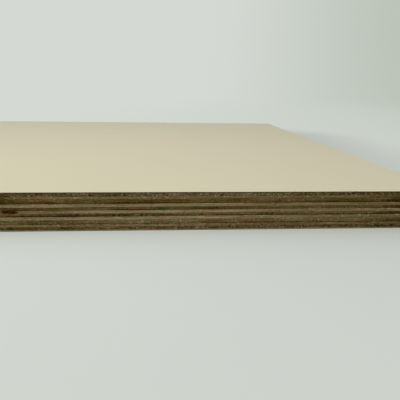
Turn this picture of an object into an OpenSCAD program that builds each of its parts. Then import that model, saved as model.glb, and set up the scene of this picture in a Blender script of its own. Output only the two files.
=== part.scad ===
// Plywood sheet: cross-laminated veneers between two thin cream laminates.
// Millimetres, +Z up. The origin is the centre of the underside.

/* [Sheet] */
// Length of the sheet, along X
sheet_length = 600; // [300:10:2440]
// Width of the sheet, along Y
sheet_width = 300; // [150:10:1220]

/* [Laminates] */
// Thickness of the decorative laminate on the upper face
top_laminate_t = 0.4; // [0.3:0.05:1.2]
// Thickness of the balancing laminate on the underside
bottom_laminate_t = 0.4; // [0.3:0.05:1.2]
// Bevel along the laminates' outer arrises
arris_bevel = 0.1; // [0.05:0.05:0.25]

/* [Veneers] */
// Thickness of the outer veneers, next to the laminates
outer_veneer_t = 1.3; // [0.6:0.05:3]
// Thickness of the second veneers in from each face
second_veneer_t = 0.95; // [0.6:0.05:3]
// Thickness of the third veneers in from each face
third_veneer_t = 1.85; // [0.6:0.05:3]
// Thickness of the fourth veneers in from each face
fourth_veneer_t = 1.15; // [0.6:0.05:3]
// Thickness of the fifth veneers in from each face
fifth_veneer_t = 1.3; // [0.6:0.05:3]
// Thickness of the single veneer in the middle
centre_veneer_t = 1.1; // [0.6:0.05:3]
// How far end grain sits back from the sawn edge
end_grain_setback = 0.15; // [0:0.05:0.5]

/* [Hidden] */
cream = [0.83, 0.80, 0.70];
pale_wood = [0.46, 0.39, 0.27];
dark_wood = [0.30, 0.24, 0.14];

// The layup reads from the upper face down, and mirrors about the centre veneer
upper_half = [outer_veneer_t, second_veneer_t, third_veneer_t, fourth_veneer_t, fifth_veneer_t];
lower_half = [for (i = [len(upper_half) - 1 : -1 : 0]) upper_half[i]];
layup = concat(upper_half, [centre_veneer_t], lower_half);
ply_count = len(layup);

function ply_name(i) = str("ply_", i < 9 ? "0" : "", i + 1);

// The grain turns a quarter at each glue line, and runs along Y in the outer veneers
function grain_along_x(i) = i % 2 == 1;

// Height of a veneer's lower face: the bottom laminate and every veneer below it
function ply_z(i) = i == ply_count - 1 ? bottom_laminate_t : ply_z(i + 1) + layup[i + 1];

laminate_z = ply_z(0) + layup[0];

// Section across a laminate: flat on the veneer, with its two outer arrises bevelled
module laminate_section(span, t) {
    polygon([
        [-span / 2, 0],
        [span / 2, 0],
        [span / 2, t - arris_bevel],
        [span / 2 - arris_bevel, t],
        [-span / 2 + arris_bevel, t],
        [-span / 2, t - arris_bevel],
    ]);
}

// A laminate with its veneer side on Z = 0, bevelled along all four edges
module laminate(t) {
    color(cream)
        intersection() {
            rotate([90, 0, 0])
                linear_extrude(sheet_width, center = true)
                    laminate_section(sheet_length, t);
            rotate([90, 0, 90])
                linear_extrude(sheet_length, center = true)
                    laminate_section(sheet_width, t);
        }
}

module top_laminate() {
    translate([0, 0, laminate_z])
        laminate(top_laminate_t);
}

module bottom_laminate() {
    translate([0, 0, bottom_laminate_t])
        mirror([0, 0, 1])
            laminate(bottom_laminate_t);
}

// A veneer: its long grain is flush with the sawn edges, and its end grain is set back
module ply(i) {
    setback_x = grain_along_x(i) ? end_grain_setback : 0;
    setback_y = grain_along_x(i) ? 0 : end_grain_setback;
    color(grain_along_x(i) ? pale_wood : dark_wood)
        translate([0, 0, ply_z(i)])
            linear_extrude(layup[i])
                square([sheet_length - 2 * setback_x, sheet_width - 2 * setback_y], center = true);
}

top_laminate();
for (i = [0 : ply_count - 1])
    ply(i);
bottom_laminate();
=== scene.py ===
"""Looks of a laminate-faced plywood sheet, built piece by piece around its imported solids.

Lengths are metres, +Z is up, and the origin is the centre of the sheet's underside. The sawn edge that
the photograph shows faces -Y.
"""

import logging
import math
from collections.abc import Callable, Iterable, Sequence
from dataclasses import dataclass
from enum import Enum
from typing import Any

import bmesh
import bpy
from bmesh.types import BMEdge, BMesh, BMFace, BMVert
from bpy.types import ID, Material, Node, NodeSocket, Object
from mathutils import Matrix, Vector, noise


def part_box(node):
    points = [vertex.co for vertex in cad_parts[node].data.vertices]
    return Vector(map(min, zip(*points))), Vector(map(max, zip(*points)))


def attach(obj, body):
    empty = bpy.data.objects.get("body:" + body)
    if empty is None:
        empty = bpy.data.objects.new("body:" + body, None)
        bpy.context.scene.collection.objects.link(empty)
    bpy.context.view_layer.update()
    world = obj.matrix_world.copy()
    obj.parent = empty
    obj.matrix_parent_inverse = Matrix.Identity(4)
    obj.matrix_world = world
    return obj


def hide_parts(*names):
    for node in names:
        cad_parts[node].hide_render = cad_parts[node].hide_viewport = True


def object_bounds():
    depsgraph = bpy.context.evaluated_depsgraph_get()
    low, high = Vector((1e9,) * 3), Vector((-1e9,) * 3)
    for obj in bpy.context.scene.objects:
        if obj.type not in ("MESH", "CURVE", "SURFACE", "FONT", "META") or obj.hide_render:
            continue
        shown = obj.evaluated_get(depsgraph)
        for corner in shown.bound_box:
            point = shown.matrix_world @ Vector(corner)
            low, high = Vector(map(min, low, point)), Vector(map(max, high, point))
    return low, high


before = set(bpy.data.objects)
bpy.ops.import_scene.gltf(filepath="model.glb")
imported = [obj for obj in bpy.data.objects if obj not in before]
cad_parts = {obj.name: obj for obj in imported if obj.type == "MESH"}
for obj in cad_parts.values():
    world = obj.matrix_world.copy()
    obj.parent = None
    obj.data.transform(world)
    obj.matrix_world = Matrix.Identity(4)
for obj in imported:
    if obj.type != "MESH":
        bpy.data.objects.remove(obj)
CAD_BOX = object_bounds()

MM = 0.001
NEAR = 0.0001 * MM
BODY = "root"
BAKE_MAP = "OFBake"
ARRIS = "arris"
HEIGHT = "height"
log = logging.getLogger("plywood_sheet")

Colour = tuple[float, float, float]
Place = tuple[float, float, float]


class Wall(Enum):
    """One of the sheet's four sawn edges, by the direction from it into the sheet."""

    FRONT = (0, 1)
    BACK = (0, -1)
    LEFT = (1, 0)
    RIGHT = (-1, 0)

    @property
    def axis(self) -> int:
        """The axis that the wall faces along: 0 for X, 1 for Y."""
        return 0 if self.value[0] else 1

    @property
    def along(self) -> int:
        """The axis that the wall runs along: 0 for X, 1 for Y."""
        return 1 - self.axis

    @property
    def seed(self) -> int:
        """A number of its own for its noise."""
        return 40 * list(Wall).index(self)


class Grain(Enum):
    """The axis that a veneer's fibres run along: 0 for X, 1 for Y."""

    ALONG_X = 0
    ALONG_Y = 1


class Cut(Enum):
    """How a saw cut meets a veneer's fibres."""

    END_GRAIN = "end_grain"
    LONG_GRAIN = "long_grain"


class Facing(Enum):
    """The way that a laminate's decorative side faces."""

    UP = 1
    DOWN = -1


class Tint(Enum):
    """The hue of a mark on the wood, as a factor on its colour."""

    PLAIN = (1.0, 1.0, 1.0)
    MAROON = (0.98, 0.63, 0.45)
    RED = (1.15, 0.93, 0.98)
    GREENISH = (0.66, 1.08, 1.0)


@dataclass(frozen=True)
class Value:
    """A number that varies over a surface: a shader socket that takes part in Python sums."""

    graph: "Graph"
    socket: NodeSocket

    def __add__(self, other: "Value | float") -> "Value":
        """The sum of two values."""
        return self.graph.math("ADD", self, other)

    __radd__ = __add__

    def __sub__(self, other: "Value | float") -> "Value":
        """This value less another."""
        return self.graph.math("SUBTRACT", self, other)

    def __rsub__(self, other: "Value | float") -> "Value":
        """Another value less this one."""
        return self.graph.math("SUBTRACT", other, self)

    def __mul__(self, other: "Value | float") -> "Value":
        """The product of two values."""
        return self.graph.math("MULTIPLY", self, other)

    __rmul__ = __mul__

    def __truediv__(self, other: "Value | float") -> "Value":
        """This value over another."""
        return self.graph.math("DIVIDE", self, other)

    def rise(self, low: float, high: float) -> "Value":
        """A smooth step from 0 at low to 1 at high."""
        settings = {"interpolation_type": "SMOOTHSTEP"}
        inputs = {"Value": self, "From Min": low, "From Max": high}
        return Value(self.graph, self.graph.node("ShaderNodeMapRange", settings, inputs).outputs[0])


class Graph:
    """A material's node tree, with the nodes that the finishes share.

    Attributes:
        SEED_STEPS: How many cells a seed of 1 moves noise along each axis.
        ROUGHNESS: How strong each finer layer of noise is.
    """

    SEED_STEPS = (7.31, 3.17, 5.53)
    ROUGHNESS = 0.55

    def __init__(self, name: str) -> None:
        """Makes an empty material of that name."""
        self.material = bpy.data.materials.new(name)
        self.material.use_nodes = True
        self.tree = self.material.node_tree
        self.tree.nodes.clear()
        place = self.node("ShaderNodeTexCoord", {}, {})
        self.place = place.outputs["Object"]
        axes = self.node("ShaderNodeSeparateXYZ", {}, {"Vector": self.place})
        self.x, self.y, self.z = (Value(self, socket) for socket in axes.outputs)

    def node(self, kind: str, settings: dict[str, Any], inputs: dict[Any, Any]) -> Node:
        """Adds any node.

        Args:
            kind: The node's type.
            settings: The node's own properties, set first.
            inputs: Values or links of its sockets, by name or number.

        Returns:
            The node.
        """
        made = self.tree.nodes.new(kind)
        for name, setting in settings.items():
            setattr(made, name, setting)
        for name, given in inputs.items():
            source = given.socket if isinstance(given, Value) else given
            if isinstance(source, NodeSocket):
                self.tree.links.new(source, made.inputs[name])
            else:
                made.inputs[name].default_value = source
        return made

    def math(self, operation: str, *operands: "Value | float") -> Value:
        """A sum on values, as one Math node."""
        made = self.node("ShaderNodeMath", {"operation": operation}, dict(enumerate(operands)))
        return Value(self, made.outputs[0])

    def mix(self, factor: Value | float, first: Any, second: Any, blend: str = "MIX") -> NodeSocket:
        """Mixes two colours.

        Args:
            factor: Share of the second colour.
            first: A colour or a socket.
            second: A colour or a socket.
            blend: The way of mixing.

        Returns:
            The mixed colour's socket.
        """
        settings = {"data_type": "RGBA", "blend_type": blend}
        colours = [(*c, 1.0) if isinstance(c, tuple) else c for c in (first, second)]
        made = self.node("ShaderNodeMix", settings, {0: factor, 6: colours[0], 7: colours[1]})
        return made.outputs[2]

    def attribute(self, name: str) -> Value:
        """A number that the mesh holds at each point."""
        made = self.node("ShaderNodeAttribute", {"attribute_name": name}, {})
        return Value(self, made.outputs["Fac"])

    def noise(self, cell: Sequence[float], seed: float, detail: float = 2.0) -> Value:
        """Noise of about -1 to 1.

        Args:
            cell: Size of its cells along X, Y and Z.
            seed: Moves the pattern to another place.
            detail: How many finer layers it has.

        Returns:
            The noise, centred on 0.
        """
        where = self.node(
            "ShaderNodeMapping",
            {},
            {
                "Vector": self.place,
                "Location": tuple(seed * step for step in self.SEED_STEPS),
                "Scale": tuple(1 / size for size in cell),
            },
        )
        made = self.node(
            "ShaderNodeTexNoise",
            {"noise_dimensions": "3D"},
            {"Vector": where.outputs[0], "Scale": 1.0, "Detail": detail, "Roughness": self.ROUGHNESS},
        )
        # the node's own values lie mostly between 0.25 and 0.75
        return 4 * Value(self, made.outputs[0]) - 2

    def ramp(self, value: Value, stops: Sequence[tuple[float, Colour]]) -> NodeSocket:
        """Colours a value by a ramp.

        Args:
            value: The value.
            stops: The ramp's positions and colours, lowest first.

        Returns:
            The colour's socket.
        """
        made = self.node("ShaderNodeValToRGB", {}, {0: value})
        elements = made.color_ramp.elements
        for index, (position, colour) in enumerate(stops):
            element = elements[index] if index < len(elements) else elements.new(position)
            element.position = position
            element.color = (*colour, 1.0)
        return made.outputs["Color"]

    def bump(self, height: Value, depth: float) -> NodeSocket:
        """A normal that follows fine relief, depth metres deep for each unit of height."""
        made = self.node("ShaderNodeBump", {}, {"Height": height, "Distance": depth, "Strength": 1.0})
        return made.outputs[0]

    def close(self, shader: Node) -> Material:
        """Links the last shader to the material's output."""
        self.node("ShaderNodeOutputMaterial", {}, {"Surface": shader.outputs[0]})
        return self.material

    def surface(self, **inputs: Any) -> Node:
        """A Principled shader, from its sockets with _ for each space in their names."""
        sockets = {name.replace("_", " "): given for name, given in inputs.items()}
        return self.node("ShaderNodeBsdfPrincipled", {}, sockets)


@dataclass(frozen=True)
class WoodPalette:
    """The wood's colours, from the darkest pocket to the palest torn fibre."""

    pocket: Colour = (0.020, 0.011, 0.001)
    glue_and_shade: Colour = (0.063, 0.037, 0.004)
    heart: Colour = (0.107, 0.070, 0.019)
    brown: Colour = (0.162, 0.112, 0.045)
    sapwood: Colour = (0.229, 0.166, 0.081)
    fleck: Colour = (0.380, 0.290, 0.162)

    def stops(self) -> list[tuple[float, Colour]]:
        """The colours at even steps of tone from 0 to 1."""
        colours = (self.pocket, self.glue_and_shade, self.heart, self.brown, self.sapwood, self.fleck)
        return [(index / (len(colours) - 1), colour) for index, colour in enumerate(colours)]


@dataclass(frozen=True)
class Mark:
    """A mark on the front edge: a knot, a hole, a tear, a streak, a stain, or a stretch where shade or light
    is painted. Its lengths are millimetres.

    Attributes:
        plies: Numbers of the veneers that it is on, apart by spaces.
        x: Its middle along the sheet.
        z: Its middle above the underside.
        half_length: Half its length along the sheet.
        half_height: Half its height.
        darkens: How far it lowers the wood's tone; a pale stretch has a negative one.
        tint: Its hue.
        dent: How deep it goes in.
        lean: How far it slants along the sheet for each unit of height.
        solid: Share of its reach that has its full strength.
        combed: Whether it is broken into upright ticks.
        faded: Share of its reach where it ends.
        ragged: How far its rim strays, as a share of its reach.
    """

    plies: str
    x: float
    z: float
    half_length: float
    half_height: float
    darkens: float
    tint: Tint = Tint.PLAIN
    dent: float = 0.0
    lean: float = 0.0
    solid: float = 0.5
    combed: bool = False
    faded: float = 1.2
    ragged: float = 0.35

    def is_on(self, veneer: str) -> bool:
        """Whether the mark is on the veneer of that name."""
        return veneer[-2:] in self.plies.split()

    def mask(self, graph: Graph) -> Value:
        """Draws the mark on the front edge.

        Args:
            graph: The material's graph.

        Returns:
            1 on the mark and 0 off it, with a ragged rim.
        """
        up = graph.z - self.z * MM
        across = (graph.x - self.x * MM - self.lean * up) / (self.half_length * MM)
        height = up / (self.half_height * MM)
        strays = graph.noise((1.1 * MM, 9 * MM, 0.5 * MM), self.x)
        reach = graph.math("SQRT", across * across + height * height) + self.ragged * strays
        in_front = 1 - graph.y.rise(-1 * MM, 1 * MM)
        mask = (1 - reach.rise(self.solid, self.faded)) * in_front
        if self.combed:
            ticks = graph.noise((0.8 * MM, 9 * MM, 3 * MM), self.z, 1)
            mask = mask * ticks.rise(-0.1, 0.5)
        return mask

    def depth(self, x: float, z: float) -> float:
        """How far the mark goes into the edge at a point, in metres like the point's own place."""
        up = z / MM - self.z
        across = (x / MM - self.x - self.lean * up) / self.half_length
        reach = math.hypot(across, up / self.half_height)
        return self.dent * MM * max(0.0, 1.0 - reach * reach)


KNOT = (
    Mark("06", 134.6, 7.45, 3.0, 0.85, 0.58, Tint.MAROON, 0.06, solid=0.7),
    Mark("06", 136.2, 7.25, 1.6, 0.55, 0.11, Tint.MAROON, 0.14, lean=-0.8),
    Mark("06", 133.4, 7.55, 1.2, 0.42, 0.15, Tint.MAROON, 0.08),
    Mark("05", 134.0, 8.05, 2.2, 0.34, 0.10, Tint.MAROON),
    Mark("06", 130.5, 7.40, 3.5, 0.80, 0.12, Tint.RED),
    Mark("06", 138.5, 7.40, 6.0, 0.90, 0.15, solid=0.3),
)
# the tears are dented in and also darkened: partly the torn wood's tone, partly painted shade in the holes
TEARS = (
    Mark("01", 212.1, 13.57, 0.45, 0.40, 0.60, dent=0.45),
    Mark("01", 258.0, 13.85, 0.9, 0.42, 0.30, dent=0.20, lean=2.2),
    Mark("01", 262.0, 14.0, 1.2, 0.42, 0.36, dent=0.25, lean=2.2),
    Mark("01", 266.4, 13.95, 1.5, 0.48, 0.30, dent=0.20, combed=True),
    Mark("07", 174.7, 6.25, 12.5, 0.75, 0.30, dent=0.08, combed=True),
)
STREAKS = (
    Mark("03", 142.0, 10.95, 10.0, 0.42, 0.15),
    Mark("03", 190.0, 10.85, 26.0, 0.32, 0.13),
    Mark("03", 243.0, 10.64, 12.0, 0.15, 0.22),
    Mark("05", 181.1, 8.18, 13.0, 0.20, 0.40),
    Mark("05", 213.0, 8.17, 9.0, 0.16, 0.22),
    Mark("07", 147.0, 5.90, 19.0, 0.26, 0.24, solid=0.7),
    Mark("07", 193.0, 6.10, 9.0, 0.40, 0.12),
    Mark("07", 217.0, 5.95, 8.0, 0.24, 0.16),
    Mark("09", 146.0, 3.90, 15.0, 0.90, 0.09),
    Mark("09", 217.0, 2.78, 14.0, 0.15, 0.22),
    Mark("05", 152.0, 8.95, 28.0, 0.60, 0.11),
    Mark("05", 189.3, 8.65, 2.9, 0.45, 0.20, Tint.GREENISH),
    Mark("02 03", 146.5, 12.2, 3.2, 0.85, 0.06, Tint.RED),
    Mark("03", 186.7, 11.4, 4.2, 0.55, 0.14, Tint.RED),
    Mark("09", 206.0, 3.5, 3.5, 0.7, 0.02, Tint.RED),
    Mark("09", 224.0, 3.6, 10.0, 0.7, -0.03, Tint.RED),
    Mark("11", 238.5, 1.5, 4.6, 0.5, 0.04, Tint.RED),
)
DARK_ENDS = (
    Mark("01 02 03", 130.0, 12.6, 5.0, 2.8, 0.22),
    Mark("03", 289.0, 11.5, 15.0, 1.2, 0.24, solid=0.85),
    Mark("05", 289.0, 8.8, 15.0, 0.9, 0.30, solid=0.85),
    Mark("07", 289.0, 6.3, 15.0, 0.8, 0.22, solid=0.85),
    Mark("09", 289.0, 3.6, 20.0, 1.1, 0.23, solid=0.75),
)
# darker towards both ends of the front edge: partly the wood's own tone, partly painted shade where the light
# falls off
DULL_WOOD_AND_SHADE_ENDS = (
    Mark("02 03 04", 128.0, 12.0, 20.0, 4.0, 0.09, solid=0.4),
    Mark("01 11", 130.0, 7.5, 20.0, 14.0, 0.06, solid=0.4),
    Mark("02 08", 270.0, 9.0, 28.0, 14.0, 0.07, solid=0.4),
    Mark("01 02 06 07 08 09 10 11", 296.0, 7.5, 34.0, 14.0, 0.11, solid=0.4),
)
# paler stretches in the middle of the front edge: partly the wood's own tone, partly painted light
PALE_WOOD_AND_LIGHT_STRETCHES = (
    Mark("02", 192.0, 12.8, 36.0, 1.8, -0.08, solid=0.4),
    Mark("04", 206.0, 9.9, 30.0, 1.8, -0.07, solid=0.4),
    Mark("06", 196.0, 7.5, 34.0, 1.8, -0.11),
    Mark("07", 228.0, 6.3, 22.0, 1.8, -0.06, solid=0.4),
    Mark("08", 149.0, 5.1, 22.0, 1.8, -0.07, solid=0.4),
    Mark("08", 192.0, 5.1, 17.0, 1.8, -0.13, solid=0.4),
    Mark("08", 235.0, 5.1, 12.0, 1.8, -0.11, solid=0.4),
    Mark("10", 192.0, 2.2, 36.0, 1.8, -0.08, solid=0.4),
)
MARKS = KNOT + TEARS + STREAKS + DARK_ENDS + DULL_WOOD_AND_SHADE_ENDS + PALE_WOOD_AND_LIGHT_STRETCHES


@dataclass(frozen=True)
class Look:
    """How a veneer looks on a sawn edge. Where its tone falls towards its lower face, the fall is partly the
    wood's own and partly painted shade in the recess above the next veneer's ledge.

    Attributes:
        upper: Tone on the palette under its upper glue line.
        middle: Tone halfway.
        lower: Tone over its lower glue line, which on end grain holds painted shade as well.
        speckle: Strength of its specks, pores and torn fibres.
    """

    upper: float
    middle: float
    lower: float
    speckle: float

    def tone(self, graph: Graph, height: Value) -> Value:
        """The plain tone at a height, which runs from 0 at the veneer's lower face to 1 at its upper one."""
        below = graph.math("MINIMUM", height, 0.5)
        above = graph.math("MAXIMUM", height - 0.5, 0.0)
        return self.lower + 2 * (self.middle - self.lower) * below + 2 * (self.upper - self.middle) * above


# on end grain the fall from upper to lower tone is partly painted shade above the next veneer
FRONT_LOOKS = {
    "ply_01": Look(0.52, 0.53, 0.53, 2.0),
    "ply_02": Look(0.59, 0.65, 0.58, 2.3),
    "ply_03": Look(0.55, 0.40, 0.29, 1.0),
    "ply_04": Look(0.71, 0.81, 0.82, 2.1),
    "ply_05": Look(0.54, 0.48, 0.40, 0.8),
    "ply_06": Look(0.77, 0.82, 0.83, 1.3),
    "ply_07": Look(0.62, 0.45, 0.32, 1.3),
    "ply_08": Look(0.76, 0.84, 0.86, 2.2),
    "ply_09": Look(0.71, 0.59, 0.50, 1.2),
    "ply_10": Look(0.65, 0.74, 0.69, 3.8),
    "ply_11": Look(0.53, 0.48, 0.42, 1.6),
}
# the end grain's fall to its lower tone is partly painted shade, as on the front edge
PLAIN_LOOKS = {Cut.END_GRAIN: Look(0.58, 0.48, 0.39, 1.0), Cut.LONG_GRAIN: Look(0.74, 0.80, 0.80, 1.5)}
# how far the dark line under a veneer lowers its tone: glue on long grain, glue deepened by painted shade on
# end grain
GLUE_AND_SHADE_DEPTHS = {Cut.END_GRAIN: 0.18, Cut.LONG_GRAIN: 0.03}
HUE_STRENGTHS = {Cut.END_GRAIN: 1.0, Cut.LONG_GRAIN: 0.75}


@dataclass
class VeneerFinish:
    """Bare wood of a veneer, on the sawn edges that cut its fibres in one way.

    Attributes:
        veneer: The veneer.
        cut: How the edges cut its fibres.
        palette: The wood's colours.
        roughness: Mean roughness.
        specular: Strength of its sheen.
        reddish: Factor on the colour where it turns to red.
        olive: Factor on the colour where it turns to olive.
    """

    veneer: "Veneer"
    cut: Cut
    palette: WoodPalette = WoodPalette()
    roughness: float = 0.82
    specular: float = 0.06
    reddish: Colour = (1.21, 0.92, 1.03)
    olive: Colour = (0.90, 1.015, 0.74)

    def __post_init__(self) -> None:
        """Starts the material, and looks up the veneer's look and marks on those edges."""
        self.graph = Graph(f"{self.veneer.name}_{self.cut.value}")
        in_front = self.veneer.cut_of(Wall.FRONT) is self.cut
        self.look = FRONT_LOOKS[self.veneer.name] if in_front else PLAIN_LOOKS[self.cut]
        self.marks = self.veneer.marks if in_front else []

    def dress(self) -> Material:
        """Makes the finish.

        Returns:
            The material.
        """
        graph = self.graph
        grain = self._end_grain if self.cut is Cut.END_GRAIN else self._long_grain
        tone = self._ground() + grain()
        masks = [(mark, mark.mask(graph)) for mark in self.marks]
        for mark, mask in masks:
            tone = tone - mark.darkens * mask
        colour = self._shift_hue(graph.ramp(tone, self.palette.stops()))
        for mark, mask in masks:
            if mark.tint is not Tint.PLAIN:
                tinted = graph.mix(1.0, colour, mark.tint.value, "MULTIPLY")
                colour = graph.mix(mask, colour, tinted)
        fibre = self._noise(0.25, 0.15, 9, 3)
        shader = graph.surface(
            Base_Color=colour,
            Roughness=self.roughness + 0.08 * fibre,
            Specular_IOR_Level=self.specular,
            Normal=graph.bump(fibre, 0.02 * MM),
        )
        return graph.close(shader)

    def _noise(self, length: float, height: float, offset: int, detail: float = 2.0) -> Value:
        """Noise on the edges.

        Args:
            length: Length of its cells along an edge, in millimetres.
            height: Height of its cells, in millimetres.
            offset: Sets it apart from the veneer's other noise.
            detail: How many finer layers it has.

        Returns:
            The noise, centred on 0.
        """
        through = 60 * MM
        along_x = self.veneer.runs_along(self.cut) == 0
        sizes = (length * MM, through) if along_x else (through, length * MM)
        return self.graph.noise((*sizes, height * MM), self.veneer.seed + offset, detail)

    def _ground(self) -> Value:
        """The veneer's plain tone, with the wavy dark line under it: a glue line, which on end grain is
        deepened by painted shade in the corner above the next veneer.

        Returns:
            The tone.
        """
        wave = self._noise(9, 9, 8)
        height = self.graph.attribute(HEIGHT)
        # dark line at the veneer's lower face: glue, and painted shade on end grain
        glue_and_shade = 1 - (height + 0.14 * wave).rise(0.02, 0.24)
        return self.look.tone(self.graph, height + 0.08 * wave) - GLUE_AND_SHADE_DEPTHS[self.cut] * glue_and_shade

    def _end_grain(self) -> Value:
        """Cut fibre ends: growth lines along the edge, clumps, pores, torn flecks and lathe checks.

        Returns:
            What they add to the tone.
        """
        lines = self._noise(12, 0.35, 0, 3)
        clumps = self._noise(1.2, 0.75, 1, 3)
        pores = self._noise(0.7, 0.6, 2, 1).rise(0.3, 0.8)
        flecks = self._noise(0.7, 0.6, 3, 1).rise(0.4, 0.9)
        stretch = self._noise(20, 3, 4, 1).rise(0.1, 0.6)
        checks = self._noise(0.7, 2.2, 5, 1).rise(0.2, 0.6)
        drift = self._noise(34, 8, 6)
        patches = self._noise(10, 1.6, 10, 1)
        plain = 0.13 * lines + 0.15 * drift + 0.12 * patches
        specks = 0.15 * clumps - 0.22 * pores + 0.26 * flecks - 0.1 * stretch * checks
        return plain + self.look.speckle * specks

    def _long_grain(self) -> Value:
        """Fibres along the edge: long streaks, fine lines, short vessels and a few pale flecks.

        Returns:
            What they add to the tone.
        """
        streaks = self._noise(26, 0.4, 0)
        lines = self._noise(8, 0.18, 1)
        vessels = self._noise(2.8, 0.16, 2, 1).rise(0.4, 0.9)
        flecks = self._noise(1.0, 0.5, 3, 1).rise(0.4, 1.0)
        pricks = self._noise(0.8, 0.7, 5, 1).rise(0.45, 1.0)
        drift = self._noise(30, 8, 4)
        plain = 0.12 * streaks + 0.09 * lines + 0.16 * drift
        specks = 0.2 * flecks - 0.16 * pricks - 0.14 * vessels
        return plain + self.look.speckle * specks

    def _shift_hue(self, colour: NodeSocket) -> NodeSocket:
        """Shifts the wood a little to red and to olive, in patches.

        Args:
            colour: The wood's colour.

        Returns:
            The shifted colour.
        """
        strength = HUE_STRENGTHS[self.cut]
        patches = self._noise(8, 1.6, 7)
        to_red = strength * patches.rise(0.0, 0.9)
        to_olive = strength * (0 - patches).rise(0.0, 0.9)
        redder = self.graph.mix(to_red, colour, self.reddish, "MULTIPLY")
        return self.graph.mix(to_olive, redder, self.olive, "MULTIPLY")


@dataclass(frozen=True)
class LaminateFinish:
    """Cream satin laminate."""

    cream: Colour = (0.645, 0.590, 0.414)
    worn_and_lit: Colour = (0.78, 0.71, 0.51)
    roughness: float = 0.5
    specular: float = 0.35

    def dress(self, name: str) -> Material:
        """Makes the finish, faintly clouded, with a fine grain and paler arrises: partly wear, partly a
        painted highlight where the rounded arris catches the light.

        Args:
            name: The laminate's name.

        Returns:
            The material.
        """
        graph = Graph(f"{name}_cream")
        clouds = graph.noise((90 * MM, 90 * MM, 90 * MM), 1.0, 3)
        mottle = graph.noise((2.2 * MM, 2.2 * MM, 2.2 * MM), 2.0, 2)
        shade = 1 + 0.012 * clouds + 0.008 * mottle
        grey = graph.node("ShaderNodeCombineColor", {}, {0: shade, 1: shade, 2: shade})
        colour = graph.mix(1.0, self.cream, grey.outputs[0], "MULTIPLY")
        # paler arris: partly wear, partly a painted highlight of the rounded arris
        colour = graph.mix(graph.attribute(ARRIS), colour, self.worn_and_lit)
        grain = graph.noise((0.7 * MM, 0.7 * MM, 0.7 * MM), 3.0, 2)
        shader = graph.surface(
            Base_Color=colour,
            Roughness=self.roughness + 0.04 * mottle,
            Specular_IOR_Level=self.specular,
            Normal=graph.bump(grain, 0.004 * MM),
        )
        return graph.close(shader)


@dataclass(frozen=True)
class CoreFinish:
    """Brown impregnated paper inside a laminate, where its sawn side shows it."""

    dark: Colour = (0.060, 0.044, 0.016)
    pale: Colour = (0.110, 0.082, 0.034)
    roughness: float = 0.6
    specular: float = 0.2

    def dress(self, name: str) -> Material:
        """Makes the finish, streaked along the edge.

        Args:
            name: The laminate's name.

        Returns:
            The material.
        """
        graph = Graph(f"{name}_core")
        streaks = graph.noise((2 * MM, 2 * MM, 0.3 * MM), 4.0, 3)
        shader = graph.surface(
            Base_Color=graph.mix(streaks.rise(-0.6, 0.9), self.dark, self.pale),
            Roughness=self.roughness + 0.05 * streaks,
            Specular_IOR_Level=self.specular,
        )
        return graph.close(shader)


@dataclass(frozen=True)
class Ring:
    """One ring of an edge's profile.

    Attributes:
        inset: How far it lies inside the outline.
        z: Its height.
    """

    inset: float
    z: float


@dataclass(frozen=True)
class Chart:
    """Where a plate's surface lies on its baked pictures, in shares of a picture's side.

    Attributes:
        edges: Bottom and top of the rows that hold the sawn edges, one strip to a row.
        first_cap: Left, bottom, right and top of the face that the profile starts from.
        last_cap: Left, bottom, right and top of the face that the profile ends at.
        margin: Clear border of a strip.
    """

    edges: tuple[float, float]
    first_cap: tuple[float, float, float, float]
    last_cap: tuple[float, float, float, float]
    margin: float = 0.003


def add_object(name: str, data: ID) -> Object:
    """Adds an object to the scene for a mesh, a lamp or a camera."""
    made = bpy.data.objects.new(name, data)
    bpy.context.scene.collection.objects.link(made)
    return made


def picked(items: Iterable[Any], kind: type) -> list[Any]:
    """The items of one kind."""
    return [item for item in items if isinstance(item, kind)]


def extrude(bm: BMesh, rim: Sequence[BMEdge]) -> tuple[set[BMVert], list[BMEdge], list[BMFace]]:
    """Extrudes a closed rim, in place.

    Args:
        bm: The mesh.
        rim: The rim's edges.

    Returns:
        The points and the edges of the new rim, and the faces between the two.
    """
    grown = bmesh.ops.extrude_edge_only(bm, edges=rim)["geom"]
    verts = set(picked(grown, BMVert))
    edges = [edge for edge in picked(grown, BMEdge) if verts.issuperset(edge.verts)]
    return verts, edges, picked(grown, BMFace)


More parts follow.
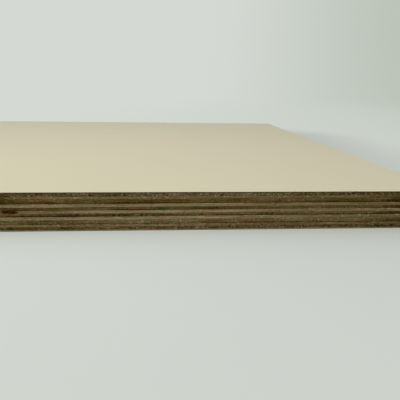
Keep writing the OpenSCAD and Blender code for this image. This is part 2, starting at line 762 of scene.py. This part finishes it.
class Plate:
    """A closed plate whose four sawn edges share one profile."""

    def __init__(self, half_length: float, half_width: float, strip: float, columns: int) -> None:
        """Starts the plate with its outline.

        Args:
            half_length: Half its size along X.
            half_width: Half its size along Y.
            strip: About how long the strips are that its edges are unwrapped in.
            columns: Faces along each strip.
        """
        self.half = (half_length, half_width)
        self.strips = {wall: round(2 * self.half[wall.along] / strip) for wall in Wall}
        self.bm = bmesh.new()
        self.inward = self.bm.verts.layers.float_vector.new("inward")
        self.home = self.bm.verts.layers.float_vector.new("home")
        self.share = self.bm.verts.layers.float.new(HEIGHT)
        self.walls: dict[Wall, list[BMFace]] = {wall: [] for wall in Wall}
        self.caps: list[list[BMFace]] = []
        self.rim = self._outline(columns)

    def _rectangle(self, inset: float, z: float, columns: int) -> list[BMEdge]:
        """Lays out a rectangle of evenly divided sides.

        Args:
            inset: How far it lies inside the outline.
            z: Its height.
            columns: Edges along each strip.

        Returns:
            Its edges.
        """
        a, b = (half - inset for half in self.half)
        corners = [self.bm.verts.new((x, y, z)) for x, y in ((-a, -b), (a, -b), (a, b), (-a, b))]
        sides = [self.bm.edges.new((corners[index - 1], corners[index])) for index in range(4)]
        edges: dict[BMEdge, None] = {}
        for side, wall in zip(sides, (Wall.LEFT, Wall.FRONT, Wall.RIGHT, Wall.BACK)):
            cuts = self.strips[wall] * columns - 1
            made = bmesh.ops.subdivide_edges(self.bm, edges=[side], cuts=cuts)["geom_split"]
            edges.update(dict.fromkeys(picked(made, BMEdge)))
        return list(edges)

    def _outline(self, columns: int) -> list[BMEdge]:
        """Lays out the outline, and notes each point's place and the way into the sheet.

        Args:
            columns: Edges along each strip.

        Returns:
            Its edges.
        """
        edges = self._rectangle(0, 0, columns)
        for vert in self.bm.verts:
            signs = [-math.copysign(1, c) if abs(c) > h - NEAR else 0 for c, h in zip(vert.co, self.half)]
            vert[self.inward] = (*signs, 0)
            vert[self.home] = vert.co
        return edges

    def sweep(self, profile: Sequence[Ring]) -> None:
        """Sweeps a profile round the outline and closes both ends.

        Args:
            profile: Its rings, from one face of the plate to the other.
        """
        lengths = [math.dist((p.inset, p.z), (q.inset, q.z)) for p, q in zip(profile, profile[1:])]
        self._place(self.bm.verts, profile[0], 0.0)
        first = self.rim
        for index, ring in enumerate(profile[1:], 1):
            verts, self.rim, faces = extrude(self.bm, self.rim)
            self._place(verts, ring, sum(lengths[:index]) / sum(lengths))
            for face in faces:
                self.walls[self._wall_of(face)].append(face)
        self.caps = [self._cap(first, profile[0].z), self._cap(self.rim, profile[-1].z)]
        bmesh.ops.recalc_face_normals(self.bm, faces=self.bm.faces)
        self._shade((*first, *self.rim))

    def _place(self, verts: Iterable[BMVert], ring: Ring, share: float) -> None:
        """Puts a ring's points in place.

        Args:
            verts: The points.
            ring: The ring.
            share: Its place along the profile, from 0 to 1.
        """
        for vert in verts:
            vert.co = vert[self.home] + vert[self.inward] * ring.inset
            vert.co.z = ring.z
            vert[self.share] = share

    def _cap(self, rim: Sequence[BMEdge], z: float) -> list[BMFace]:
        """Closes a face of the plate: a border of fans round an even grid.

        Args:
            rim: The edges round it.
            z: Its height.

        Returns:
            Its faces.
        """
        border = 10 * MM
        cells_to_strip = 3
        inner = self._rectangle(border, z, cells_to_strip)
        filled = bmesh.ops.triangle_fill(self.bm, edges=[*rim, *inner], use_beauty=True, normal=(0, 0, 1))
        long_sides = [edge for edge in inner if abs(edge.verts[0].co.y - edge.verts[1].co.y) < border / 100]
        grid = bmesh.ops.grid_fill(self.bm, edges=long_sides)["faces"]
        return [*picked(filled["geom"], BMFace), *grid]

    def _wall_of(self, face: BMFace) -> Wall:
        """The wall that a face of the edge belongs to."""
        signs = [{round(vert[self.inward][axis]) for vert in face.verts} for axis in (0, 1)]
        return Wall(tuple(found.pop() if len(found) == 1 else 0 for found in signs))

    def _shade(self, rims: Iterable[BMEdge]) -> None:
        """Shades the edges smooth, with sharp corners and sharp rims."""
        for face in self.bm.faces:
            face.smooth = True
        for edge in self.bm.edges:
            edge.smooth = not all(vert[self.inward].x and vert[self.inward].y for vert in edge.verts)
        for edge in rims:
            edge.smooth = False

    def carve(self, relief: Callable[[Wall, float, float], float]) -> None:
        """Moves the edges' points into the plate.

        Args:
            relief: Depth at a point, from its wall, its place along the wall and its height.
        """
        for vert in self.bm.verts:
            signs = vert[self.inward]
            for wall in Wall:
                if signs[wall.axis] == wall.value[wall.axis]:
                    depth = relief(wall, vert[self.home][wall.along], vert.co.z)
                    vert.co[wall.axis] += signs[wall.axis] * depth

    def bend(self, lift: Callable[[Vector], float]) -> None:
        """Moves every point up or down.

        Args:
            lift: How far a point rises, from its place.
        """
        for vert in self.bm.verts:
            vert.co.z += lift(vert.co)

    def unwrap(self, chart: Chart) -> None:
        """Lays the surface out for baking: the edges in strips, the faces flat.

        Args:
            chart: Where each of them goes.
        """
        layer = self.bm.loops.layers.uv.new(BAKE_MAP)
        bottom, top = chart.edges
        row = (top - bottom) / sum(self.strips.values())
        for wall, faces in self.walls.items():
            for face in faces:
                places = [self._along(wall, vert) for vert in face.verts]
                strip = int(sum(places) / len(places))
                for loop in face.loops:
                    u = self._along(wall, loop.vert) - strip
                    v = (1 - 2 * chart.margin / row) * loop.vert[self.share] * row
                    loop[layer].uv = (
                        chart.margin + (1 - 2 * chart.margin) * u,
                        bottom + strip * row + chart.margin + v,
                    )
            bottom += self.strips[wall] * row
        for faces, area in zip(self.caps, (chart.first_cap, chart.last_cap)):
            left, low, right, high = area
            for loop in (loop for face in faces for loop in face.loops):
                x, y = ((c / half + 1) / 2 for c, half in zip(loop.vert.co, self.half))
                loop[layer].uv = (left + (right - left) * x, low + (high - low) * y)

    def _along(self, wall: Wall, vert: BMVert) -> float:
        """A point's place along a wall, in strips."""
        half = self.half[wall.along]
        return (vert[self.home][wall.along] + half) / (2 * half) * self.strips[wall]

    def object(self, name: str, materials: Sequence[Material]) -> Object:
        """Turns the plate into an object.

        Args:
            name: The piece's name.
            materials: Its materials, by face index.

        Returns:
            The object, at the origin.
        """
        vectors = self.bm.verts.layers.float_vector
        for layer in ("inward", "home"):
            vectors.remove(vectors[layer])
        mesh = bpy.data.meshes.new(name)
        self.bm.to_mesh(mesh)
        self.bm.free()
        for material in materials:
            mesh.materials.append(material)
        return add_object(name, mesh)


@dataclass(frozen=True)
class Waviness:
    """The gentle wave that runs through all the veneers, since none of them is quite flat.

    Attributes:
        low: Height of the lowest veneer's underside, which stays flat.
        high: Height of the highest veneer's upper face, which stays flat.
        rise: How far the veneers in the middle rise and fall.
        length_x: Length of a wave along X.
        length_y: Length of a wave along Y.
        level_x: Place along the front edge where the wave rises through its flat level.
    """

    low: float
    high: float
    rise: float = 0.17 * MM
    length_x: float = 280 * MM
    length_y: float = 260 * MM
    level_x: float = 200 * MM

    def lift(self, place: Vector) -> float:
        """How far a point lies above its flat place."""
        turns = (place.x - self.level_x) / self.length_x + (place.y - CAD_BOX[0].y) / self.length_y
        share = (place.z - self.low) / (self.high - self.low)
        return self.rise * math.sin(2 * math.pi * turns) * math.sin(math.pi * share)


@dataclass
class Layer:
    """One layer of the sheet.

    Attributes:
        name: Its node.
        low: Its lowest corner.
        high: Its highest corner.
    """

    name: str
    low: Vector
    high: Vector

    @property
    def thickness(self) -> float:
        """Its thickness."""
        return self.high.z - self.low.z


@dataclass
class Veneer(Layer):
    """One of the veneers.

    Attributes:
        grain: The axis of its fibres.
        waviness: The wave that it follows.
        glue_groove: How far its edges fall back at the glue lines.
        strip: Length of the strips that its edges are unwrapped in.
        columns: Faces along each strip.
        bands: Rows of faces up its edges.
        chart: Its layout for baking.
    """

    grain: Grain
    waviness: Waviness
    glue_groove: float = 0.03 * MM
    strip: float = 75 * MM
    columns: int = 150
    bands: int = 7
    chart: Chart = Chart((0.05, 1.0), (0.0, 0.0, 0.09, 0.045), (0.1, 0.0, 0.19, 0.045))

    @classmethod
    def from_node(cls, name: str, waviness: Waviness) -> "Veneer":
        """Reads a veneer from its solid: it is set back where the saw cut its end grain.

        Args:
            name: Its node.
            waviness: The wave that it follows.

        Returns:
            The veneer.
        """
        low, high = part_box(name)
        setback_x = CAD_BOX[1].x - high.x
        setback_y = CAD_BOX[1].y - high.y
        grain = Grain.ALONG_Y if setback_y > setback_x else Grain.ALONG_X
        return cls(name, low, high, grain, waviness)

    @property
    def seed(self) -> float:
        """A number of its own for its noise."""
        return 10.0 * int(self.name[-2:])

    @property
    def marks(self) -> list[Mark]:
        """The marks on its front edge."""
        return [mark for mark in MARKS if mark.is_on(self.name)]

    def cut_of(self, wall: Wall) -> Cut:
        """How a wall cuts its fibres."""
        return Cut.END_GRAIN if wall.axis == self.grain.value else Cut.LONG_GRAIN

    def runs_along(self, cut: Cut) -> int:
        """The axis along the walls that cut it so: 0 for X, 1 for Y."""
        return 1 - self.grain.value if cut is Cut.END_GRAIN else self.grain.value

    def relief(self, wall: Wall, along: float, z: float) -> float:
        """Depth of the sawn surface below the flat cut.

        Args:
            wall: The wall.
            along: Place along the wall.
            z: Height in the flat veneer.

        Returns:
            The depth, never below 0.
        """
        seed = self.seed + wall.seed
        share = (z - self.low.z) / self.thickness
        # the noise has its cells and its depths in millimetres
        x_mm = along / MM
        z_mm = z / MM
        if self.cut_of(wall) is Cut.END_GRAIN:
            torn = noise.fractal(Vector((x_mm / 1.2, seed, z_mm / 0.6)), 0.7, 2.0, 3)
            pit = max(0.0, noise.noise(Vector((x_mm / 1.1, seed + 5, z_mm / 0.45))) - 0.3)
            depth = (0.05 + 0.05 * torn + 0.14 * pit) * MM
        else:
            streak = noise.noise(Vector((x_mm / 22, seed, z_mm / 0.3)))
            saw = noise.noise(Vector((x_mm / 1.3 + 0.3 * z_mm, seed + 5, z_mm / 6)))
            depth = (0.025 + 0.02 * streak + 0.008 * saw + 0.04 * (1 - share)) * MM
        if wall is Wall.FRONT:
            risen = z + self.waviness.lift(Vector((along, self.low.y, z)))
            depth += sum(mark.depth(along, risen) for mark in self.marks)
        return max(0.0, depth) + self.glue_groove * (2 * share - 1) ** 6

    def build(self) -> Object:
        """Builds and dresses the veneer.

        Returns:
            The piece.
        """
        plate = Plate(self.high.x, self.high.y, self.strip, self.columns)
        heights = [self.low.z + self.thickness * row / self.bands for row in range(self.bands + 1)]
        plate.sweep([Ring(0, z) for z in heights])
        cuts = list(Cut)
        for wall, faces in plate.walls.items():
            for face in faces:
                face.material_index = cuts.index(self.cut_of(wall))
        for face in (face for cap in plate.caps for face in cap):
            face.material_index = cuts.index(Cut.LONG_GRAIN)
        plate.carve(self.relief)
        plate.bend(self.waviness.lift)
        plate.unwrap(self.chart)
        piece = plate.object(f"{self.name}_veneer", [VeneerFinish(self, cut).dress() for cut in cuts])
        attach(piece, BODY)
        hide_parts(self.name)
        return piece


@dataclass(frozen=True)
class Chip:
    """A chip in a laminate's front arris.

    Attributes:
        x: Its middle along the sheet.
        half_length: Half its length.
        depth: How far it goes in.
    """

    x: float
    half_length: float
    depth: float

    def bite(self, x: float) -> float:
        """How far the chip goes in at a place along the sheet."""
        reach = (x - self.x) / self.half_length
        return self.depth * max(0.0, 1 - reach * reach)


@dataclass
class Laminate(Layer):
    """One of the two laminates.

    Attributes:
        facing: The way that its cream side faces.
        arris: Radius of its worn outer arris.
        decor: Height of its side that shows cream.
        chips: Chips in its front arris.
        strip: Length of the strips that its edges are unwrapped in.
        columns: Faces along each strip.
        segments: Faces round the arris.
        chart: Its layout for baking.
    """

    facing: Facing
    arris: float
    decor: float
    chips: tuple[Chip, ...] = ()
    strip: float = 150 * MM
    columns: int = 300
    segments: int = 4
    chart: Chart = Chart((0.06, 0.49), (0.0, 0.0, 0.1, 0.05), (0.002, 0.5, 0.998, 0.998))

    def profile(self) -> list[Ring]:
        """Lays out the edge's profile.

        Returns:
            Its rings, from the veneer's side to the cream face.
        """
        glued = self.low.z if self.facing is Facing.UP else self.high.z
        outward = self.facing.value
        sides = [Ring(0, 0), Ring(0, self.thickness - self.decor)]
        if self.decor > self.arris:
            sides.append(Ring(0, self.thickness - self.arris))
        for step in range(1, self.segments + 1):
            angle = math.radians(90) * step / self.segments
            inset = self.arris * (1 - math.cos(angle))
            sides.append(Ring(inset, self.thickness - self.arris * (1 - math.sin(angle))))
        sides.append(Ring(3 * self.arris, self.thickness))
        return [Ring(ring.inset, glued + outward * ring.z) for ring in sides]

    def relief(self, wall: Wall, along: float, z: float) -> float:
        """Depth of the small chips that the saw left along the arris.

        Args:
            wall: The wall.
            along: Place along the wall.
            z: Height.

        Returns:
            The depth.
        """
        seed = 7.0 + wall.seed + 13 * self.facing.value
        flake = max(0.0, noise.noise(Vector((along / MM / 1.6, seed, 0))) - 0.4)
        bite = sum(chip.bite(along) for chip in self.chips) if wall is Wall.FRONT else 0.0
        return (0.01 + 0.2 * flake) * MM + bite

    def build(self) -> Object:
        """Builds and dresses the laminate.

        Returns:
            The piece.
        """
        plate = Plate(self.high.x, self.high.y, self.strip, self.columns)
        profile = self.profile()
        plate.sweep(profile)
        self._note_arris(plate, profile)
        core_z = profile[1].z
        for face in (face for faces in plate.walls.values() for face in faces):
            inner = (face.calc_center_median().z - core_z) * self.facing.value < 0
            face.material_index = int(inner)
        plate.carve(self.relief)
        plate.unwrap(self.chart)
        materials = [LaminateFinish().dress(self.name), CoreFinish().dress(self.name)]
        piece = plate.object(f"{self.name}_sheet", materials)
        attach(piece, BODY)
        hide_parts(self.name)
        return piece

    def _note_arris(self, plate: Plate, profile: Sequence[Ring]) -> None:
        """Marks the points of the rounded arris, which get the paler colour of wear and painted highlight:
        all between the core and the face's last ring.

        Args:
            plate: The laminate's plate.
            profile: Its rings.
        """
        arris = plate.bm.verts.layers.float.new(ARRIS)
        worn_and_lit = {vert for faces in plate.walls.values() for face in faces for vert in face.verts}
        last_inset = profile[-1].inset
        for vert in worn_and_lit:
            past_core = (vert.co.z - profile[1].z) * self.facing.value > -NEAR
            inset = max(half - abs(c) for half, c, s in zip(plate.half, vert.co, vert[plate.inward]) if s)
            vert[arris] = float(past_core and inset < last_inset - NEAR)


@dataclass
class PlywoodSheet:
    """The whole sheet: its veneers and the laminate on each face."""

    veneers: list[Veneer]
    laminates: list[Laminate]

    @classmethod
    def from_frame(cls) -> "PlywoodSheet":
        """Reads the sheet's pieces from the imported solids.

        Returns:
            The sheet.
        """
        names = sorted(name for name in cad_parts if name.startswith("ply_"))
        waviness = Waviness(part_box(names[-1])[0].z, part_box(names[0])[1].z)
        veneers = [Veneer.from_node(name, waviness) for name in names]
        chips = (Chip(263.4 * MM, 0.7 * MM, 0.35 * MM),)
        top = Laminate("top_laminate", *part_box("top_laminate"), Facing.UP, 0.08 * MM, 0.08 * MM, chips)
        bottom = Laminate("bottom_laminate", *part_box("bottom_laminate"), Facing.DOWN, 0.08 * MM, 0.12 * MM)
        return cls(veneers, [top, bottom])

    def build(self) -> None:
        """Builds every piece and reports it."""
        for layer in (*self.laminates, *self.veneers):
            piece = layer.build()
            log.info("%s: %d faces", piece.name, len(piece.data.polygons))


@dataclass(frozen=True)
class Stage:
    """A plain pale floor that curves up into a backdrop all round.

    Attributes:
        paint: The floor's colour.
        bright: The backdrop's colour at the back left.
        dim: The backdrop's colour at the front right.
        fade_slant: How far the fade between them turns from X towards -Y.
        fade_from: Where along it the fade starts.
        fade_to: Where it ends.
        glow_from: Distance from the sheet where the floor starts to pass into the backdrop.
        glow_to: Distance where it is all backdrop.
        floor_radius: Radius of the flat floor.
        cove_radius: Radius of the curve between floor and wall.
        wall_height: Height of the wall.
        segments: Faces round the stage.
        cove_steps: Faces up the curve.
    """

    paint: Colour = (0.62, 0.66, 0.615)
    bright: Colour = (0.66, 0.70, 0.65)
    dim: Colour = (0.485, 0.535, 0.475)
    fade_slant: float = 0.25
    fade_from: float = -0.2
    fade_to: float = 1.1
    glow_from: float = 0.015
    glow_to: float = 0.13
    floor_radius: float = 1.7
    cove_radius: float = 0.6
    wall_height: float = 1.1
    segments: int = 96
    cove_steps: int = 12

    def build(self) -> None:
        """Builds the floor with its backdrop."""
        bm = bmesh.new()
        bmesh.ops.create_circle(bm, cap_ends=True, radius=self.floor_radius, segments=self.segments)
        rim = list(bm.edges)
        radius = self.floor_radius
        height = 0.0
        for reach, top in self._profile():
            verts, rim, _ = extrude(bm, rim)
            bmesh.ops.scale(bm, vec=(reach / radius, reach / radius, 1), verts=list(verts))
            bmesh.ops.translate(bm, vec=(0, 0, top - height), verts=list(verts))
            radius = reach
            height = top
        for face in bm.faces:
            face.smooth = True
        mesh = bpy.data.meshes.new("floor")
        bm.to_mesh(mesh)
        bm.free()
        mesh.materials.append(self.finish())
        floor = add_object("floor", mesh)

    def _profile(self) -> list[tuple[float, float]]:
        """Lays out the curve and the wall.

        Returns:
            Radius and height of each ring past the flat floor.
        """
        rings = []
        for step in range(1, self.cove_steps + 1):
            angle = math.radians(90) * step / self.cove_steps
            reach = self.floor_radius + self.cove_radius * math.sin(angle)
            rings.append((reach, self.cove_radius * (1 - math.cos(angle))))
        return [*rings, (self.floor_radius + self.cove_radius, self.wall_height)]

    def finish(self) -> Material:
        """Makes the floor's matt paint, which passes into a pale backdrop that glows for camera, glossy and
        transmission rays, painted brighter at the back left and dimmer at the front right as light that falls
        off.

        Returns:
            The material.
        """
        graph = Graph("floor_paint")
        paint = graph.surface(Base_Color=(*self.paint, 1.0), Roughness=0.9, Specular_IOR_Level=0.1)
        fade = (graph.x - self.fade_slant * graph.y).rise(self.fade_from, self.fade_to)
        pale = graph.mix(fade, self.bright, self.dim)
        glow = graph.node("ShaderNodeEmission", {}, {"Color": pale, "Strength": 1.0})
        path = graph.node("ShaderNodeLightPath", {}, {})
        rays = [Value(graph, path.outputs[f"Is {kind} Ray"]) for kind in ("Camera", "Glossy", "Transmission")]
        seen = graph.math("MAXIMUM", graph.math("MAXIMUM", rays[0], rays[1]), rays[2])
        beyond = [
            graph.math("MAXIMUM", graph.math("ABSOLUTE", place) - half, 0.0)
            for place, half in zip((graph.x, graph.y), CAD_BOX[1])
        ]
        away = graph.math("SQRT", beyond[0] * beyond[0] + beyond[1] * beyond[1])
        share = seen * away.rise(self.glow_from, self.glow_to)
        both = {0: share, 1: paint.outputs[0], 2: glow.outputs[0]}
        return graph.close(graph.node("ShaderNodeMixShader", {}, both))


@dataclass(frozen=True)
class Lighting:
    """Soft studio light: a large lamp high in front of the sheet, and even light from all round."""

    lamp_place: Place = (-0.03, -0.30, 0.52)
    lamp_target: Place = (0.10, -0.05, 0.0)
    lamp_size: float = 0.35
    lamp_watts: float = 1.74
    ambient: float = 0.64

    def build(self) -> None:
        """Adds the lamp and the even light."""
        data = bpy.data.lights.new("lamp", "AREA")
        data.shape = "DISK"
        data.size = self.lamp_size
        data.energy = self.lamp_watts
        lamp = add_object("lamp", data)
        lamp.location = self.lamp_place
        direction = Vector(self.lamp_target) - Vector(self.lamp_place)
        lamp.rotation_euler = direction.to_track_quat("-Z", "Y").to_euler()
        world = bpy.data.worlds.new("even_light")
        world.use_nodes = True
        background = world.node_tree.nodes["Background"]
        background.inputs["Color"].default_value = (1.0, 1.0, 1.0, 1.0)
        background.inputs["Strength"].default_value = self.ambient
        bpy.context.scene.world = world


@dataclass(frozen=True)
class Viewpoint:
    """The photograph's camera.

    Attributes:
        place: Where it stands.
        yaw: Turn about Z from looking along +Y, in degrees.
        pitch: Tilt up from level, in degrees.
        roll: Turn about its own axis, in degrees.
        focal_px: Focal length in pixels of the square image.
        image_px: Side of the image.
        sensor_mm: Width of the sensor.
    """

    place: Place = (0.192383, -0.296995, 0.052307)
    yaw: float = -4.4233
    pitch: float = -15.3531
    roll: float = 0.9091
    focal_px: float = 411.73
    image_px: float = 400
    sensor_mm: float = 36

    def build(self) -> None:
        """Adds the camera and makes it the scene's own."""
        data = bpy.data.cameras.new("camera")
        data.sensor_width = self.sensor_mm
        data.lens = self.focal_px / self.image_px * self.sensor_mm
        data.clip_start = 1 * MM
        camera = add_object("camera", data)
        turn = Matrix.Rotation(math.radians(self.yaw), 4, "Z")
        tilt = Matrix.Rotation(math.radians(90 + self.pitch), 4, "X")
        spin = Matrix.Rotation(math.radians(self.roll), 4, "Z")
        camera.matrix_world = Matrix.Translation(self.place) @ turn @ tilt @ spin
        bpy.context.scene.camera = camera


def main() -> None:
    """Builds the view, the stage and the sheet."""
    logging.basicConfig(level=logging.INFO, format="%(message)s")
    bpy.context.scene.view_settings.view_transform = "Standard"
    Viewpoint().build()
    Stage().build()
    Lighting().build()
    PlywoodSheet.from_frame().build()


if __name__ == "__main__":
    main()
